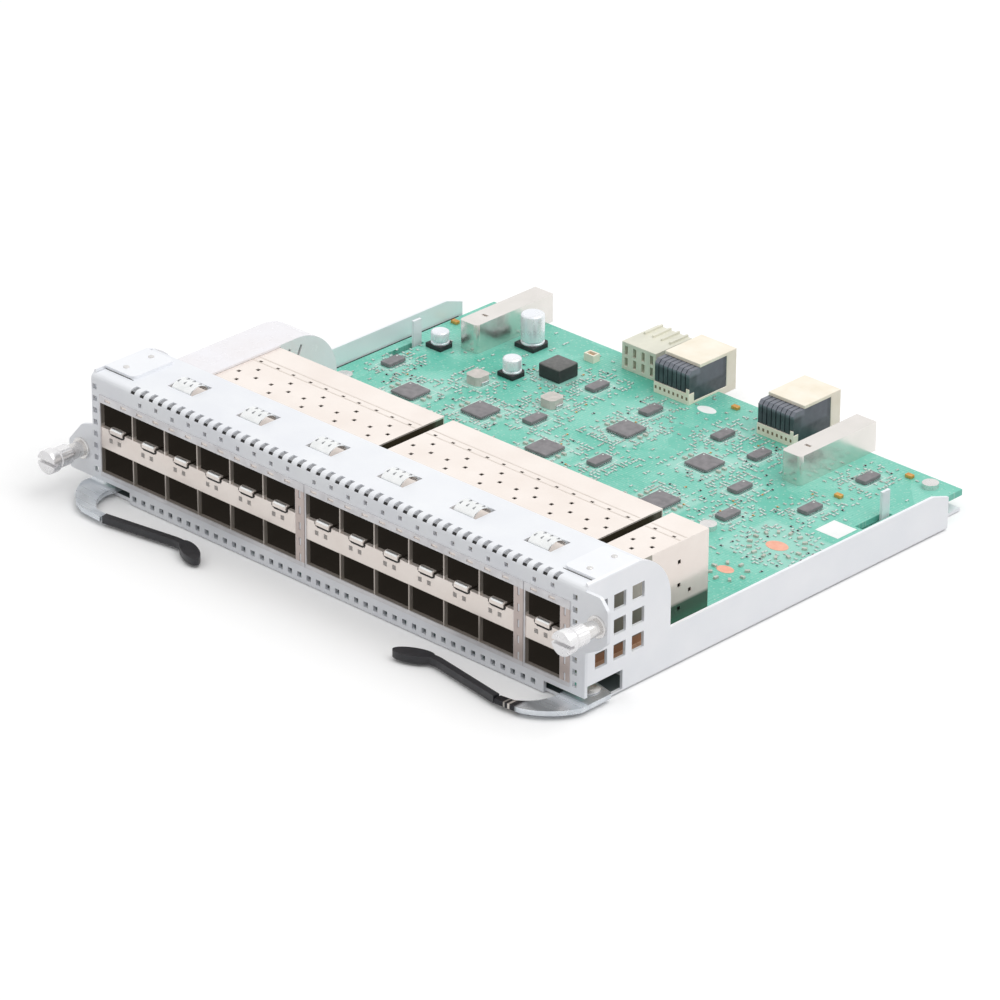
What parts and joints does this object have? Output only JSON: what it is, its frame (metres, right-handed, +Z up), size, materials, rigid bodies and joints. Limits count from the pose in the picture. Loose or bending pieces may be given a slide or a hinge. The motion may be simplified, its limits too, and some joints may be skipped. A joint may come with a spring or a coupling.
{
  "type": "switch line card",
  "caption": "Network switch line card: folded tray and perforated faceplate, ganged two-storey port cages on a circuit board, rear plugs, ejector levers and captive screws.",
  "frame": {"origin": "centre of the tray floor's underside", "axes": "+X across the card to the right seen from the front, +Y from the faceplate to the rear, +Z up"},
  "size_m": [0.2259, 0.2002, 0.0409],
  "materials": {
    "tray_steel": "zinc-plated sheet, satin",
    "face_steel": "zinc-plated sheet, satin",
    "cage_metal": "bright tin-plated sheet, warm reflections",
    "gasket_metal": "bright formed spring strip",
    "board_green": "solder mask on fibreglass, satin",
    "chip_grey": "moulded package, matt",
    "inductor_grey": "moulded powder core, matt",
    "can_base": "moulded base, matt",
    "can_metal": "drawn can, satin",
    "passive_beige": "fired ceramic, matt",
    "header_white": "moulded, satin",
    "housing_ivory": "moulded, satin",
    "wafer_black": "moulded, satin",
    "power_ivory": "moulded, satin",
    "guide_nickel": "nickel-plated casting, bright",
    "connector_black": "moulded, matt",
    "pipe_clear": "clear moulding",
    "guide_white": "thin translucent moulding",
    "lever_metal": "stamped plate, satin",
    "grip_black": "moulded grip, satin",
    "screw_metal": "turned and plated, satin",
    "rivet_metal": "plated rivet, satin"
  },
  "bodies": {
    "card": {"base_tray": "tray_steel", "faceplate": "face_steel", "plate_rivets": "rivet_metal", "contact_clips": "gasket_metal", "circuit_board": "board_green", "board_standoffs": "screw_metal", "board_screws": "screw_metal", "port_cage_left": "cage_metal", "port_cage_middle": "cage_metal", "port_cage_right": "cage_metal", "cage_gasket_left": "gasket_metal", "cage_gasket_middle": "gasket_metal", "cage_gasket_right": "gasket_metal", "host_connectors": "connector_black", "light_pipes": "pipe_clear", "air_guide": "guide_white", "lever_rivet_left": "rivet_metal", "lever_rivet_right": "rivet_metal", "screw_sleeve_left": "screw_metal", "screw_sleeve_right": "screw_metal", "square_chips": "chip_grey", "small_chips": "chip_grey", "tall_module": "chip_grey", "inductors": "inductor_grey", "capacitor_bases": "can_base", "capacitor_cans": "can_metal", "passives": "passive_beige", "pin_header": "header_white", "backplane_housing_left": "housing_ivory", "backplane_housing_right": "housing_ivory", "backplane_wafers_left": "wafer_black", "backplane_wafers_right": "wafer_black", "power_connector": "power_ivory", "guide_block_left": "guide_nickel", "guide_block_right": "guide_nickel"},
    "lever_left": {"lever_arm_left": "lever_metal", "lever_grip_left": "grip_black"},
    "lever_right": {"lever_arm_right": "lever_metal", "lever_grip_right": "grip_black"},
    "bush_left": {"thrust_bush_left": "screw_metal"},
    "bush_right": {"thrust_bush_right": "screw_metal"},
    "screw_left": {"captive_screw_left": "screw_metal"},
    "screw_right": {"captive_screw_right": "screw_metal"}
  },
  "joints": [
    {"name": "lever_left_swing", "type": "hinge", "parent": "card", "child": "lever_left", "pos_m": [-0.09815, -0.0811, 0.0022], "axis": [0, 0, 1], "range_deg": [-65, 8]},
    {"name": "lever_right_swing", "type": "hinge", "parent": "card", "child": "lever_right", "pos_m": [0.09815, -0.0811, 0.0022], "axis": [0, 0, 1], "range_deg": [-8, 65]},
    {"name": "screw_left_press", "type": "slide", "parent": "card", "child": "bush_left", "axis": [0, 1, 0], "range_m": [0, 0.0037]},
    {"name": "screw_left_turn", "type": "hinge", "parent": "bush_left", "child": "screw_left", "pos_m": [-0.10835, -0.0876, 0.012], "axis": [0, 1, 0], "continuous": true},
    {"name": "screw_right_press", "type": "slide", "parent": "card", "child": "bush_right", "axis": [0, 1, 0], "range_m": [0, 0.0037]},
    {"name": "screw_right_turn", "type": "hinge", "parent": "bush_right", "child": "screw_right", "pos_m": [0.10775, -0.0876, 0.0288], "axis": [0, 1, 0], "continuous": true}
  ]
}
